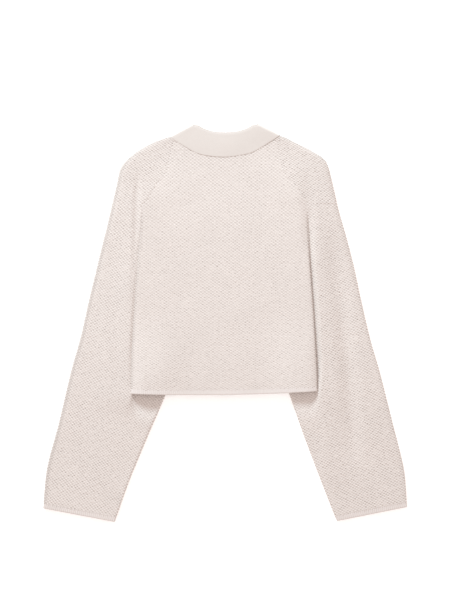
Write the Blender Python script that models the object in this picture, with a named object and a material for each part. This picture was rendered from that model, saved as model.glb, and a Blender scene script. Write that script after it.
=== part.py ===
"""Cropped knitted cardigan with a shirt collar, lying face down on a flat surface, its back upwards.

Every size is in millimetres and becomes metres where a mesh is made. X runs across the garment, from the
wearer's left to the wearer's right. Y runs from the hems to the neck. Z is up, with the surface at 0.

Each piece of knit is a wall lofted through rows. A row is a line of points on the middle of the wall, which
a table of edges and a height rule place. The sleeves are flat tubes on the surface, and the body lies over
their inner edges.
"""

import bisect
import math
from collections import namedtuple

import bmesh
import bpy
import numpy as np

NAME = "cropped_cardigan"
MM = 0.001

# --- driving sizes --------------------------------------------------------------------------------------
WALL = 2.6  # the moss stitch knit
COLLAR_WALL = 2.2  # the finer knit of the collar
FOLD = 1.7  # radius of a side fold, at the middle of the wall
COLLAR_FOLD = 1.55  # radius of the fold between the collar's stand and its leaf
DIAGONAL = math.sqrt(0.5)
SEAM = 0.3  # gap between two pieces that are sewn together
BAND = 9.5  # height of the ribbed hem and cuffs
FRONT_BAND = 15.0  # width of the band down each front edge
RIB = 3.8  # one rib and one furrow
RIB_RELIEF = 0.35  # how far a rib stands out of its furrow
SLEEVE_STACK = 6.4  # how far the body is lifted where it lies on a sleeve
COLLAR_STACK = 3.0  # how far the neck is lifted by the front of the collar
BACK_SPAN = 2.6  # how far the back bridges the hollow between the sleeves
LEFT_HEM_RISE = 7.5  # how far the body's lower end arches up over the left sleeve
RIGHT_HEM_RISE = 5.0  # and over the right one
HEM_RISE_TOP = 26.0  # the level at which that begins
HEM_RISE_REACH = 146.0  # and the distance in which it is reached
ARCH_START = 60.0  # where the arch starts across, from the middle of the body
ARCH_END = 190.0
FRONT_SLOPE = 30.0  # length over which a front comes down from the sleeve
UNDERARM_DROP = 17.0  # the same for a sleeve, from the underarm down
BACK_SLOPE = 50.0  # the same for the back, which hangs more tautly
SLEEVE_PUFF = 2.6  # how far the top of a sleeve rises between its folds
TROUGH_REACH = 30.0  # half the width of the soft trough that runs down each sleeve
CENTRE = (-1.05, -0.3)  # middle of the garment's outline, which goes to X = Y = 0


def rows_of(kind, *rows):
    return tuple(kind(*row) for row in rows)


# --- tables ---------------------------------------------------------------------------------------------
# One row for each level of the body, from the neck to the hem. The side points are the raglan seams and then
# the side folds. dip is how far the row sags in the middle of the back. front_y is where the row meets the
# front edge, bulge how far the front's row bows outwards, and curl 1 where the edge is a fold.
Level = namedtuple("Level", "left_x left_y right_x right_y dip front_y bulge curl")
BODY = rows_of(
    Level,
    (-79.0, 350.0, 79.0, 350.5, 16.0, 276.0, 13.0, 0),  # neck
    (-98.5, 342.5, 97.0, 344.0, 14.0, 268.0, 10.0, 0),  # under the corner of the collar
    (-104.5, 320.0, 103.0, 321.0, 9.0, 255.0, 6.0, 0),
    (-113.0, 286.5, 112.0, 286.5, 4.0, 236.0, 2.0, 0),
    (-133.0, 262.0, 131.5, 264.5, 1.0, 222.0, 0.0, 0),  # turn of the raglan seam
    (-147.0, 236.0, 145.5, 246.0, 0.0, 207.0, 0.0, 0),
    (-159.5, 221.0, 155.5, 228.0, 0.0, 196.0, 0.0, 0),  # underarm
    (-160.5, 190.5, 157.5, 188.0, 0.0, 170.0, 0.0, 1),
    (-166.0, 119.0, 161.0, 121.0, 0.0, 112.0, 0.0, 1),
    (-174.0, 10.0, 169.0, 10.0, 0.0, 8.0, 0.0, 1),
    (-179.0, -98.0, 174.5, -93.0, 2.5, -98.0, 0.0, 1),
    (-179.0, -124.5, 175.0, -119.5, 4.5, -126.5, 0.0, 1),  # top of the ribbed hem
    (-178.5, -134.0, 175.0, -129.0, 4.5, -136.0, 0.0, 1),  # hem
)
UNDERARM = 6
HEM_ROW = len(BODY) - 2

# One row for each level of a sleeve, from the neck to the cuff: its outer fold and its inner edge, which is
# the raglan seam and then, under the body, the underarm seam. curl is 1 where the inner edge is a fold.
Ring = namedtuple("Ring", "outer_x outer_y inner_x inner_y curl")
LEFT_SLEEVE = rows_of(
    Ring,
    (-83.0, 359.0, -82.0, 352.0, 0),  # neck
    (-106.0, 352.5, -99.6, 343.0, 0),
    (-137.0, 342.0, -105.2, 320.0, 0),
    (-175.0, 320.0, -113.7, 286.5, 0),
    (-197.0, 296.0, -133.8, 262.0, 0),  # point of the shoulder
    (-206.5, 263.5, -147.8, 236.0, 0),
    (-215.5, 225.0, -160.3, 221.0, 0),  # underarm
    (-220.5, 203.5, -161.0, 203.5, 1),
    (-227.0, 176.0, -150.0, 181.0, 1),
    (-235.0, 145.0, -127.5, 152.5, 1),
    (-245.5, 101.5, -89.5, 105.0, 1),
    (-259.0, 45.5, -74.5, 38.5, 1),  # widest
    (-274.5, -24.0, -80.0, -41.0, 1),
    (-293.0, -90.0, -108.0, -123.0, 1),
    (-317.5, -193.0, -148.4, -218.0, 1),
    (-338.5, -273.0, -182.5, -300.5, 1),
    (-345.8, -342.5, -206.8, -368.5, 1),  # top of the ribbed cuff
    (-346.5, -352.0, -210.3, -378.0, 1),  # end of the cuff
)
RIGHT_SLEEVE = rows_of(
    Ring,
    (83.0, 359.5, 82.3, 352.5, 0),
    (103.5, 354.5, 98.1, 344.5, 0),
    (132.0, 341.5, 103.7, 321.0, 0),
    (164.5, 326.0, 112.7, 286.5, 0),
    (191.0, 306.5, 132.3, 264.5, 0),
    (204.0, 266.5, 146.3, 246.5, 0),
    (214.0, 223.0, 156.3, 228.5, 0),
    (219.0, 204.0, 157.5, 210.5, 1),
    (227.0, 177.0, 147.0, 186.0, 1),
    (236.2, 143.0, 125.0, 155.0, 1),
    (246.3, 101.5, 88.0, 107.0, 1),
    (258.8, 43.5, 73.0, 40.0, 1),
    (275.0, -30.0, 79.5, -43.0, 1),
    (291.8, -90.0, 116.5, -121.0, 1),
    (317.8, -193.0, 149.0, -212.0, 1),
    (337.6, -275.0, 183.2, -302.0, 1),
    (344.0, -340.0, 208.5, -366.5, 1),
    (344.4, -349.5, 212.8, -376.3, 1),
)
CUFF_ROW = len(LEFT_SLEEVE) - 2

# The part of each sleeve that lies under the body, which the body is lifted over. It starts at the underarm.
UNDER_LEFT = (
    (-159.5, 221.0), (-122.5, 170.0), (-82.0, 116.0), (-68.5, 44.5), (-72.0, -43.0), (-96.0, -125.0),
    (-116.0, -145.5), (-203.5, -145.5), (-188.5, 10.0), (-171.0, 177.5),
)
UNDER_RIGHT = (
    (155.5, 228.0), (118.5, 172.0), (80.5, 118.0), (67.0, 44.5), (71.5, -43.0), (103.0, -123.0),
    (124.0, -145.5), (199.5, -145.5), (184.0, 10.0), (167.0, 177.5),
)
# The line of the trough down the top of each sleeve.
LEFT_TROUGH = ((-209.0, 175.0), (-200.0, 0.0), (-196.0, -203.0))
RIGHT_TROUGH = ((196.0, 190.0), (218.5, 44.5), (229.5, -88.5), (237.5, -221.5))
# The part of the neck that the front of the collar lies under.
UNDER_NECK = (
    (-107.0, 356.0), (-62.0, 380.0), (62.0, 380.0), (107.0, 360.0), (105.0, 328.0), (66.0, 247.0),
    (30.0, 221.0), (-30.0, 221.0), (-66.0, 247.0), (-105.0, 328.0),
)

# Half of the collar, from the middle of the back to the side of the neck, and from there to the front edge:
# the fold at its top, the free edge of its leaf, and how far along the neckline its sewn edge is there.
Section = namedtuple("Section", "fold_x fold_y leaf_x leaf_y along")
COLLAR_BACK = rows_of(
    Section,
    (0.0, 361.5, 0.0, 315.5, 0.0),
    (-22.0, 363.0, -24.0, 317.0, 0.36),
    (-40.0, 368.0, -49.0, 321.5, 0.68),
    (-51.0, 373.5, -69.0, 331.0, 0.88),
    (-61.5, 378.0, -105.5, 356.0, 1.0),  # side of the neck
)
COLLAR_FRONT = rows_of(
    Section,
    (-61.5, 378.0, -105.5, 356.0, 0.0),  # side of the neck
    (-55.5, 356.0, -103.0, 326.0, 0.2),
    (-43.0, 329.0, -90.0, 287.5, 0.45),
    (-24.0, 308.5, -63.0, 249.5, 0.72),
    (-1.0, 299.0, -28.0, 225.0, 1.0),  # front edge and the collar's point
)
ON_PANEL = 0.82  # the share of a front's neckline that is on the panel and not on the front band
RIGHT_NECK_SHIFT = (1.0, 0.5, -1.0, 3.0)  # of the fold's x and y and the leaf's x and y


# --- small sums -----------------------------------------------------------------------------------------
def clamp(x):
    return min(max(x, 0.0), 1.0)


def smooth(x):
    """0 below 0 and 1 above 1, with an S between."""
    x = clamp(x)
    return x * x * (3 - 2 * x)


def mix(a, b, t):
    return a + (b - a) * t


def spline(table, at):
    """The table's row at a fractional index, on a Catmull-Rom curve through its rows."""
    last = len(table) - 1
    kind = type(table[0])
    i = min(int(at), last - 1)
    t = at - i
    p1, p2 = np.array(table[i], float), np.array(table[i + 1], float)
    p0 = np.array(table[i - 1], float) if i > 0 else 2 * p1 - p2
    p3 = np.array(table[i + 2], float) if i + 2 <= last else 2 * p2 - p1
    m1, m2 = (p2 - p0) / 2, (p3 - p1) / 2
    return kind(
        *(2 * t**3 - 3 * t**2 + 1) * p1
        + (t**3 - 2 * t**2 + t) * m1
        + (3 * t**2 - 2 * t**3) * p2
        + (t**3 - t**2) * m2
    )


def stations(table, first, last, step):
    """Fractional indices of the rows to build between two rows of the table. The raglan seams and the
    underarm, rows 0 to UNDERARM + 1, get two for each row on every piece, so that the pieces match. Below
    them they are about step millimetres apart."""
    seam = [k / 2 for k in range(2 * first, 2 * UNDERARM + 2)]
    start = max(first, UNDERARM + 1)
    fine = np.linspace(start, last, 30 * (last - start) + 1)
    points = np.array([spline(table, at)[:4] for at in fine])  # the row's two end points
    travel = np.diff(points, axis=0).reshape(-1, 2, 2)
    along = np.concatenate([[0], np.cumsum(np.linalg.norm(travel, axis=2).mean(axis=1))])
    count = max(1, round(along[-1] / step))
    return seam + list(np.interp(np.linspace(0, along[-1], count + 1), along, fine))


def distance_to(x, y, line):
    """How far a point lies from a line through points."""
    best = math.inf
    for (ax, ay), (bx, by) in zip(line, line[1:]):
        dx, dy = bx - ax, by - ay
        t = clamp(((x - ax) * dx + (y - ay) * dy) / (dx * dx + dy * dy))
        best = min(best, math.hypot(x - ax - t * dx, y - ay - t * dy))
    return best


def distance_outside(x, y, polygon):
    """How far a point lies outside a polygon, 0 inside it."""
    inside, loop = False, polygon + polygon[:1]
    for (ax, ay), (bx, by) in zip(loop, loop[1:]):
        if (ay > y) != (by > y) and x < ax + (y - ay) / (by - ay) * (bx - ax):
            inside = not inside
    return 0.0 if inside else distance_to(x, y, loop)


# --- heights --------------------------------------------------------------------------------------------
def neck_lift(x, y):
    return COLLAR_STACK * (1 - smooth(distance_outside(x, y, UNDER_NECK) / FRONT_SLOPE))


def over_sleeves(x, y, slope):
    side = UNDER_LEFT if x < 0 else UNDER_RIGHT
    return SLEEVE_STACK * (1 - smooth(distance_outside(x, y, side) / slope))


def hem_rise(x, y):
    """Arch of the body's lower end over each sleeve."""
    t = (abs(x) - ARCH_START) / (ARCH_END - ARCH_START)
    arch = smooth(2 * t) * smooth(3.2 * (1 - t))
    rise = LEFT_HEM_RISE if x < 0 else RIGHT_HEM_RISE
    return rise * arch * smooth((HEM_RISE_TOP - y) / HEM_RISE_REACH)


def front_lift(x, y):
    """Height of the underside of the fronts above the surface."""
    return max(neck_lift(x, y), over_sleeves(x, y, FRONT_SLOPE)) + hem_rise(x, y)


def half_width(y):
    """Half the width of the body at a level, between its raglan seams or side folds."""
    i = min(max(bisect.bisect_left([-row.left_y for row in BODY], -y), 1), len(BODY) - 1)
    above, below = BODY[i - 1], BODY[i]
    t = clamp((above.left_y - y) / (above.left_y - below.left_y))
    return -mix(above.left_x, below.left_x, t)


def back_lift(x, y):
    """Height by which the back lies above its place on a flat front. It bridges the hollow in the middle."""
    slope = mix(FRONT_SLOPE, BACK_SLOPE, smooth((BODY[UNDERARM].left_y - y) / 40))
    below_neck = smooth((334 - y) / 70)
    off_seam = smooth((half_width(y) - abs(x)) / 50)
    lift = max(neck_lift(x, y), over_sleeves(x, y, slope), BACK_SPAN * below_neck * off_seam)
    return lift + hem_rise(x, y)


def sleeve_lift(x, y):
    """Height of the underside of a sleeve. It rises to meet the body at the underarm, and falls from it
    faster down the arm than across, to pass under the body."""
    ux, uy = UNDER_LEFT[0] if x < 0 else UNDER_RIGHT[0]
    down = (y - uy) / (FRONT_SLOPE if y > uy else UNDERARM_DROP)
    at_underarm = SLEEVE_STACK * (1 - smooth(math.hypot((x - ux) / FRONT_SLOPE, down)))
    return max(neck_lift(x, y), at_underarm)


def sleeve_puff(x, y, across):
    """How far the top of a sleeve stands off its underside, beyond the fold: not under the body, and less in
    the trough."""
    free = 1 - over_sleeves(x, y, FRONT_SLOPE) / SLEEVE_STACK
    line, depth = (LEFT_TROUGH, 0.6) if x < 0 else (RIGHT_TROUGH, 1.0)
    trough = depth * (1 - smooth(distance_to(x, y, line) / TROUGH_REACH))
    return SLEEVE_PUFF * free * (1 - trough) * smooth(4 * min(across, 1 - across)) * smooth((300 - y) / 80)


# --- rows of points -------------------------------------------------------------------------------------
EDGE_STEPS = 3
FOLD_STEPS = 6


def edge_strip(curl):
    """Points from where a wall leaves its plane to its edge: (distance from the outline, drop). With curl 1
    they run round a quarter of a fold, with half the seam's gap left at its end, and with curl 0 they are
    flat."""
    length = FOLD * math.pi / 2 - SEAM / 2
    turn = max(curl, 1e-3) * length / FOLD
    radius = length / turn
    angles = [turn * k / EDGE_STEPS for k in range(EDGE_STEPS + 1)]
    reach = radius * math.sin(turn) + curl * WALL / 2
    drop = radius * (1 - 1.6 * curl * (1 - curl))  # a half-turned edge keeps clear of the other wall
    return [(reach - radius * math.sin(a), drop * (1 - math.cos(a))) for a in angles]


def body_row(left, right, dip, height, curls, columns, stops, drop_sign):
    """Points across a panel of the body, on the middle of its wall. An edge whose curl is None is cut
    straight. stops are places between the ends where a column always stands, so that the back's columns lie
    over those of the fronts, and columns counts the spaces between them."""
    width = np.linalg.norm(right - left)
    strips = [[(0.0, 0.0)] if c is None else edge_strip(c) for c in curls]
    start = [(d / width, drop) for d, drop in strips[0]][::-1]
    end = [(1 - d / width, drop) for d, drop in strips[1]]
    places = [start[-1][0], *stops, end[0][0]]
    middle = []
    for a, b, count in zip(places, places[1:], columns):
        middle += [(t, 0.0) for t in np.linspace(a, b, count + 1)[1:]]
    middle = middle[:-1]
    points = []
    for t, drop in start + middle + end:
        x, y = mix(left, right, t) + np.array(dip) * (1 - (2 * t - 1) ** 2)
        points.append((x, y, height(x, y) + drop_sign * drop))
    return points


def back_height(x, y):
    return WALL / 2 + back_lift(x, y) + 2 * FOLD


def front_height(x, y):
    return WALL / 2 + front_lift(x, y)


def side_point(row, side, gap=0.0):
    """The side end of a row of the body. side is -1 for the wearer's left and 1 for the right."""
    x, y = (row.left_x, row.left_y) if side < 0 else (row.right_x, row.right_y)
    return np.array([x, y - gap])


def back_rows(first, last, step, columns, gap=0.0):
    rows = []
    for at in stations(BODY, first, last, step):
        row = spline(BODY, at)
        left, right, curl = side_point(row, -1, gap), side_point(row, 1, gap), clamp(row.curl)
        stops = [(x - left[0]) / (right[0] - left[0]) for x in (-FRONT_BAND - SEAM, FRONT_BAND + SEAM)]
        rows.append(body_row(left, right, (0, -row.dip), back_height, (curl, curl), columns, stops, -1))
    return rows


def front_bow(side, row):
    return np.array([side * DIAGONAL, -DIAGONAL]) * row.bulge


def front_rows(side, first, last, step, columns, gap=0.0):
    """Points of one front, between its side and its front edge."""
    rows = []
    for at in stations(BODY, first, last, step):
        row = spline(BODY, at)
        outer, curl = side_point(row, side, gap), clamp(row.curl)
        inner = np.array([side * (FRONT_BAND + SEAM), row.front_y - gap])
        ends, curls = ((outer, inner), (curl, None)) if side < 0 else ((inner, outer), (None, curl))
        rows.append(body_row(*ends, front_bow(side, row), front_height, curls, (columns,), (), 1))
    return rows


def front_band_rows(side, step):
    """Points of the band down one front edge."""
    rows = []
    inner, outer = side * SEAM, side * FRONT_BAND
    for at in stations(BODY, 0, len(BODY) - 1, step):
        y = spline(BODY, at).front_y
        xs = np.linspace(*sorted((inner, outer)), 3)
        rows.append([(x, y, front_height(x, y)) for x in xs])
    return rows


def sleeve_height(x, y):
    return WALL / 2 + sleeve_lift(x, y)


def sleeve_rows(table, first, last, step, columns, gap=0.0):
    """Points round a sleeve: along its underside from the inner edge to the outer fold, round the fold, and
    back along the top. columns counts the spaces on the underside and on the top."""
    rows = []
    for at in stations(table, first, last, step):
        row = spline(table, at)
        outer = np.array([row.outer_x, row.outer_y - gap])
        inner = np.array([row.inner_x, row.inner_y - gap])
        inwards = (inner - outer) / np.linalg.norm(inner - outer)
        low_edge, high_edge = [], []
        for away, drop in edge_strip(clamp(row.curl)):
            x, y = inner - inwards * away
            z = sleeve_height(x, y)
            low_edge.append((x, y, z + drop))
            high_edge.append((x, y, z + 2 * FOLD - drop))
        centre = outer + inwards * (FOLD + WALL / 2)
        start = np.array(low_edge[0][:2])
        low, high = [], []
        for t in np.linspace(0, 1, columns[0] + 1):
            x, y = mix(start, centre, t)
            low.append((x, y, sleeve_height(x, y)))
        for t in np.linspace(0, 1, columns[1] + 1):
            x, y = mix(start, centre, t)
            high.append((x, y, sleeve_height(x, y) + 2 * FOLD + sleeve_puff(x, y, t)))
        fold = []
        level = sleeve_height(*centre) + FOLD
        for k in range(1, FOLD_STEPS):
            a = math.pi * (k / FOLD_STEPS - 0.5)
            x, y = centre - inwards * FOLD * math.cos(a)
            fold.append((x, y, level + FOLD * math.sin(a)))
        rows.append(low_edge[:0:-1] + low + fold + high[::-1] + high_edge[1:])
    return rows


def neckline(side, along, front):
    """A point of the neckline of the back, from its middle to its corner, or of a front, from its corner to
    its front edge, and then clear of the edge by the seam's gap."""
    row = BODY[0]
    if front:
        ends = side_point(row, side), np.array([side * FRONT_BAND, row.front_y])
        t = min(along / ON_PANEL, 1)
        bow, gap = front_bow(side, row), (-side * DIAGONAL, DIAGONAL)
    else:
        ends = side_point(row, -1), side_point(row, 1)
        t = 0.5 + side * along / 2
        bow, gap = np.array([0, -row.dip]), (0, 1)
    place = mix(*ends, t) + bow * (1 - (2 * t - 1) ** 2) + np.array(gap) * 2 * SEAM
    if front and along > ON_PANEL:
        place[0] = side * mix(FRONT_BAND, 2 * SEAM, (along - ON_PANEL) / (1 - ON_PANEL))
    return place


def collar_section(row, base, top):
    """Points from the stand's sewn edge over the fold to the free edge of the leaf, on the back of the neck
    where top is 1 and on the front where it is 0. Each comes with its height."""
    fold, leaf = np.array([row.fold_x, row.fold_y]), np.array([row.leaf_x, row.leaf_y])
    stand_z = WALL / 2 + COLLAR_STACK + 2 * FOLD * top
    leaf_z = stand_z + (2 * COLLAR_FOLD if top else -2 * COLLAR_FOLD)
    to_base = (base - fold) / np.linalg.norm(base - fold)
    to_leaf = (leaf - fold) / np.linalg.norm(leaf - fold)
    inset = COLLAR_FOLD + COLLAR_WALL / 2
    points = []
    for t in (0, 0.5, 1):
        points.append((*mix(base, fold + to_base * inset, t), stand_z))
    for k in range(1, 4):
        a = math.pi * (k / 4 - 0.5)
        share = (1 + math.sin(a)) / 2
        way = mix(to_base, to_leaf, share)
        x, y = fold + way / np.linalg.norm(way) * (inset - COLLAR_FOLD * math.cos(a))
        points.append((x, y, mix(stand_z, leaf_z, share)))
    for t in (0, 0.33, 0.67, 1):
        points.append((*mix(fold + to_leaf * inset, leaf, t), leaf_z))
    return np.array(points)


def mirrored(table):
    """The sections on the right of the neck, which differ a little from those on the left."""
    rows = []
    for row in table:
        dx, dy, leaf_dx, leaf_dy = (shift * min(-row.fold_x / 60, 1) for shift in RIGHT_NECK_SHIFT)
        places = (dx - row.fold_x, row.fold_y + dy, leaf_dx - row.leaf_x, row.leaf_y + leaf_dy)
        rows.append(Section(*places, row.along))
    return rows


def collar_half(side):
    """Sections of half the collar, from the middle of the back to the front edge."""
    back, front = COLLAR_BACK, COLLAR_FRONT
    if side > 0:
        back, front = mirrored(back), mirrored(front)
    outwards = np.array([side * 0.55, 0.83])
    corner = neckline(side, 1, False) + outwards * (FOLD + COLLAR_WALL / 2)
    top, bottom = collar_section(back[-1], corner, 1), collar_section(front[0], corner, 0)
    radius = (top[:, 2] - bottom[:, 2]) / 2
    centre = top[:, :2] - outwards * (radius + COLLAR_WALL / 2)[:, None]
    level = (top[:, 2] + bottom[:, 2]) / 2
    sections = []
    for at in np.linspace(0, len(back) - 1, 9)[:-1]:
        row = spline(back, at)
        share = smooth(at - (len(back) - 2))
        base = mix(neckline(side, row.along, False), corner, share)
        section = collar_section(row, base, 1)
        section[:, :2] += (centre - top[:, :2]) * share
        sections.append(section)
    for k in range(FOLD_STEPS + 1):
        a = math.pi * (0.5 - k / FOLD_STEPS)
        plan = centre + outwards * (radius * math.cos(a))[:, None]
        sections.append(np.column_stack([plan, level + radius * math.sin(a)]))
    for at in np.linspace(0, len(front) - 1, 9)[1:]:
        row = spline(front, at)
        share = 1 - smooth(at)
        base = mix(neckline(side, row.along, True), corner, share)
        section = collar_section(row, base, 0)
        section[:, :2] += (centre - bottom[:, :2]) * share
        sections.append(section)
    return sections


def collar_rows():
    left, right = collar_half(-1), collar_half(1)
    return [list(map(tuple, s)) for s in left[::-1] + right[1:]]


# --- meshes ---------------------------------------------------------------------------------------------
def material(name, colour, roughness):
    made = bpy.data.materials.new(name)
    made.use_nodes = True
    shader = made.node_tree.nodes["Principled BSDF"]
    shader.inputs["Base Color"].default_value = (*colour, 1)
    shader.inputs["Roughness"].default_value = roughness
    shader.inputs["Metallic"].default_value = 0
    return made


def wall_normals(points):
    """Unit normals of the surface through a grid of points."""
    along_rows = np.gradient(points, axis=0, edge_order=1 if len(points) < 3 else 2)
    along_columns = np.gradient(points, axis=1, edge_order=2)
    normals = np.cross(along_columns, along_rows)
    return normals / np.linalg.norm(normals, axis=2, keepdims=True)


def cloth(name, rows, wall, outside, finish, ribs=False):
    """A closed wall round the points, which lie on its middle. outside is 1 or -1 and says on which side of
    the points the outer face is. Ribs stand out of that face over a plain inner one."""
    points = np.array(rows)
    normals = wall_normals(points) * outside
    outer = np.full(points.shape[:2], wall / 2)
    if ribs:
        outer[:, 1::2] -= RIB_RELIEF
    faces = (points + normals * outer[..., None], points - normals * wall / 2)
    mesh = bmesh.new()
    grids = [
        [[mesh.verts.new((p - (*CENTRE, 0)) * MM) for p in row] for row in face] for face in faces
    ]
    count, width = points.shape[:2]
    for grid in grids:
        for i in range(count - 1):
            for j in range(width - 1):
                mesh.faces.new((grid[i][j], grid[i][j + 1], grid[i + 1][j + 1], grid[i + 1][j]))
    rim = [(i, 0) for i in range(count)]
    rim += [(count - 1, j) for j in range(1, width)]
    rim += [(i, width - 1) for i in range(count - 2, -1, -1)]
    rim += [(0, j) for j in range(width - 2, 0, -1)]
    for (i, j), (m, n) in zip(rim, rim[1:] + rim[:1]):
        mesh.faces.new((grids[0][i][j], grids[0][m][n], grids[1][m][n], grids[1][i][j]))
    bmesh.ops.recalc_face_normals(mesh, faces=mesh.faces)
    data = bpy.data.meshes.new(name)
    mesh.to_mesh(data)
    mesh.free()
    data.shade_smooth()
    data.set_sharp_from_angle(angle=math.radians(50))
    data.materials.append(finish)
    made = bpy.data.objects.new(name, data)
    collection.objects.link(made)
    return made


def ribbed(width):
    """An even number of columns that puts a rib and a furrow in each RIB of the width."""
    return 2 * round(width / RIB)


# --- the garment ----------------------------------------------------------------------------------------
for old in list(bpy.data.objects):
    bpy.data.objects.remove(old, do_unlink=True)
collection = bpy.data.collections.new(NAME)
bpy.context.scene.collection.children.link(collection)

KNIT = material("moss_knit", (0.83, 0.74, 0.70), 0.9)
RIBBING = material("rib_knit", (0.81, 0.72, 0.68), 0.9)
FINE_KNIT = material("fine_knit", (0.85, 0.77, 0.73), 0.9)

ROW_STEP = 36.0
SLEEVE_STEP = 40.0
FRONT_COLUMNS = 9

cloth("back", back_rows(0, HEM_ROW, ROW_STEP, (FRONT_COLUMNS, 2, FRONT_COLUMNS)), WALL, 1, KNIT)
hem_columns = (ribbed(160), ribbed(30), ribbed(160))
hem = back_rows(HEM_ROW, HEM_ROW + 1, BAND, hem_columns, SEAM)
cloth("hem_back", hem, WALL, 1, RIBBING, ribs=True)
for side, word in ((-1, "left"), (1, "right")):
    cloth(f"front_{word}", front_rows(side, 0, HEM_ROW, ROW_STEP, FRONT_COLUMNS), WALL, -1, KNIT)
    hem = front_rows(side, HEM_ROW, HEM_ROW + 1, BAND, FRONT_COLUMNS, SEAM)
    cloth(f"hem_front_{word}", hem, WALL, -1, RIBBING)
    cloth(f"front_band_{word}", front_band_rows(side, ROW_STEP), WALL, -1, RIBBING)
for table, word, outside in ((LEFT_SLEEVE, "left", -1), (RIGHT_SLEEVE, "right", 1)):
    sleeve = sleeve_rows(table, 0, CUFF_ROW, SLEEVE_STEP, (4, 12))
    cloth(f"sleeve_{word}", sleeve, WALL, outside, KNIT)
    cuff = sleeve_rows(table, CUFF_ROW, CUFF_ROW + 1, BAND, (3, ribbed(133)), SEAM)
    cloth(f"cuff_{word}", cuff, WALL, outside, RIBBING, ribs=True)
cloth("collar", collar_rows(), COLLAR_WALL, 1, FINE_KNIT)
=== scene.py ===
"""Looks of the cropped cardigan, which lies face down: knitted shells, floor, light and camera.

Sizes are in millimetres until a mesh is made. X runs from the wearer's left to the wearer's right, Y from the
hems to the neck, and Z up. A shell is a grid of points, whose relief attribute says how far the yarn stands
out; by it the material paints shade into the hollows, and along some edges and folds more painted shade is
taken off it.
"""

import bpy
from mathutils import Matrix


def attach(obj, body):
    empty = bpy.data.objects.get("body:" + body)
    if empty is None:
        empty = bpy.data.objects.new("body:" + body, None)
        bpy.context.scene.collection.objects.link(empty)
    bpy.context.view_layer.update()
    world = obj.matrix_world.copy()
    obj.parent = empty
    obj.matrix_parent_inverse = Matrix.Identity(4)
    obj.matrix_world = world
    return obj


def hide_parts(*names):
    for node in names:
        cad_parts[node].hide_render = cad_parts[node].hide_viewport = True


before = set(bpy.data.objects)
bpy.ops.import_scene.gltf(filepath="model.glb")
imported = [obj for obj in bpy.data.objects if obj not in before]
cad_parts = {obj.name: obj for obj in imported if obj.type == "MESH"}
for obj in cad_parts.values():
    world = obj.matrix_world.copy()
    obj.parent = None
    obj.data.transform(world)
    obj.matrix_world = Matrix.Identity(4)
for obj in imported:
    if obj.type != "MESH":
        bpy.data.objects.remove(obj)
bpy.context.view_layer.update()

import math

import bpy
import numpy as np

MM = 0.001
RANDOM = np.random.default_rng(11)

# --- the sizes of the solids ---
WALL, COLLAR_WALL = 2.6, 2.2
FOLD, COLLAR_FOLD = 1.7, 1.55  # radius of a fold, at the middle of the wall
OUTER_FOLD = FOLD + WALL / 2
TUBE = 2 * FOLD + WALL  # height of a flat tube
DIAGONAL = math.sqrt(0.5)
SEAM = 0.3  # gap between sewn pieces
BAND, FRONT_BAND = 9.5, 15.0  # width of the hem and cuffs, and of the bands at the front
RIB = 3.8  # one rib and one furrow
SLEEVE_STACK, COLLAR_STACK = 6.4, 3.0  # how far the body is lifted by a sleeve, and the neck by the collar
BACK_SAG, SAG_REACH = 1.3, 100.0  # how far the back sags between the sleeves, and within what distance
NECK_SLOPE = (170.0, 150.0)  # where the back comes down to the neck, and over what length
RAGLAN_SLOPE = 110.0  # the same for the seams, from the underarm up
LEFT_HEM_RISE, RIGHT_HEM_RISE = 7.5, 5.0  # how far the hem arches up over a sleeve
HEM_RISE_TOP, HEM_RISE_REACH = 26.0, 146.0  # where that begins, and the length in which it comes
ARCH_START, ARCH_END = 60.0, 190.0
ARCH_SLOPES = (1.7, 3.4)
FRONT_SLOPE = 30.0  # length over which a front comes down from the sleeve
UNDERARM_DROP = 17.0
CENTRE = (-1.05, -0.3)  # the place that goes to X = Y = 0

# --- tables ---
# One row for each level of the body, from the neck to the hem. The side points are on the raglan seams and
# then on the folds, where curl is 1. dip is the sag in the middle of the back, and bulge the front's bow.
# left_x, left_y, right_x, right_y, dip, front_y, bulge, curl
BODY = np.array((
    (-79, 350, 79, 350.5, 16, 276, 13, 0),
    (-98.5, 342.5, 97, 344, 14, 268, 10, 0),
    (-104.5, 320, 103, 321, 9, 255, 6, 0),
    (-113, 286.5, 112, 286.5, 4, 236, 2, 0),
    (-133, 262, 131.5, 264.5, 1, 222, 0, 0),
    (-147, 236, 145.5, 246, 0, 207, 0, 0),
    (-159.5, 221, 155.5, 228, 0, 196, 0, 0),
    (-160.5, 190.5, 157.5, 188, 0, 170, 0, 1),
    (-166, 119, 161, 121, 0, 112, 0, 1),
    (-174, 10, 169, 10, 0, 8, 0, 1),
    (-179, -98, 174.5, -93, 2.5, -98, 0, 1),
    (-179, -124.5, 175, -119.5, 4.5, -126.5, 0, 1),
    (-178.5, -134, 175, -129, 4.5, -136, 0, 1),
))
UNDERARM = 6
HEM_ROW = len(BODY) - 2
# The same for a sleeve
# outer_x, outer_y, inner_x, inner_y, curl
LEFT_SLEEVE = np.array((
    (-83, 359, -82, 352, 0),
    (-107, 354.5, -99.6, 343, 0),
    (-138.5, 343.5, -105.2, 320, 0),
    (-176, 321, -113.7, 286.5, 0),
    (-198, 297, -133.8, 262, 0),
    (-206.5, 263.5, -147.8, 236, 0),
    (-215.5, 225, -160.3, 221, 0),
    (-220.5, 203.5, -161, 203.5, 1),
    (-227, 176, -150, 181, 1),
    (-235, 145, -127.5, 152.5, 1),
    (-245.5, 101.5, -89.5, 105, 1),
    (-259, 45.5, -74.5, 38.5, 1),
    (-274.5, -24, -80, -41, 1),
    (-293, -90, -108, -123, 1),
    (-317.5, -193, -148.4, -218, 1),
    (-338.5, -273, -182.5, -300.5, 1),
    (-345.8, -342.5, -206.8, -368.5, 1),
    (-346.5, -352, -210.3, -378, 1),
))
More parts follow.
